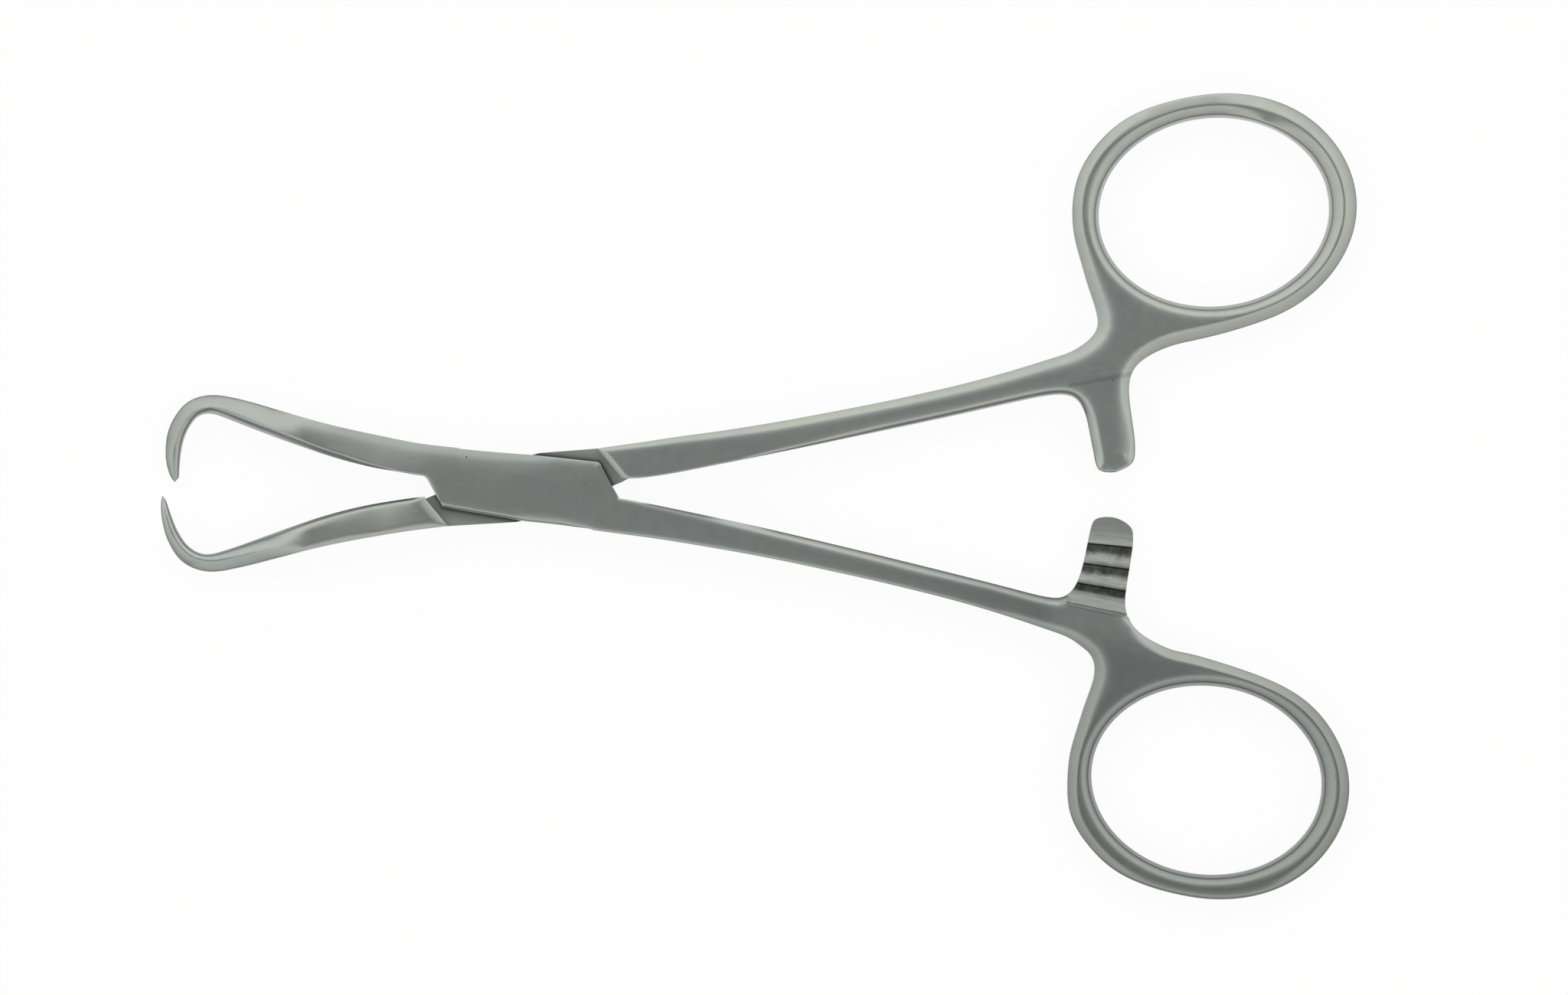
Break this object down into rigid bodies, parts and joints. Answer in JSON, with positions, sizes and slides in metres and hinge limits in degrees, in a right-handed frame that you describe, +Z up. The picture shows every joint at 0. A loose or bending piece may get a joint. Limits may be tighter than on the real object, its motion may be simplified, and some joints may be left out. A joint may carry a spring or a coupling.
{
  "type": "towel clamp",
  "caption": "Backhaus-pattern towel clamp: two crossed steel halves in a box lock, with curved sharp hooks, a toothed ratchet and finger rings.",
  "frame": {"origin": "the pin's axis where it meets the underside of the box lock", "axes": "+X along the clamp's centre line from the pin to the finger rings, +Y to the ring of the tongue half, +Z up out of the lock's upper face"},
  "size_m": [0.1313, 0.0888, 0.005],
  "materials": {
    "satin_steel": "satin, finely brushed along each piece",
    "ground_pin": "ground flush with the lock"
  },
  "bodies": {
    "slot_half": {"female_half": "satin_steel", "lock_pin": "ground_pin"},
    "tongue_half": {"male_half": "satin_steel"}
  },
  "joints": [
    {"name": "box_lock_hinge", "type": "hinge", "parent": "slot_half", "child": "tongue_half", "pos_m": [0, 0, 0.0025], "axis": [0, 0, 1], "range_deg": [-10, 25]}
  ]
}
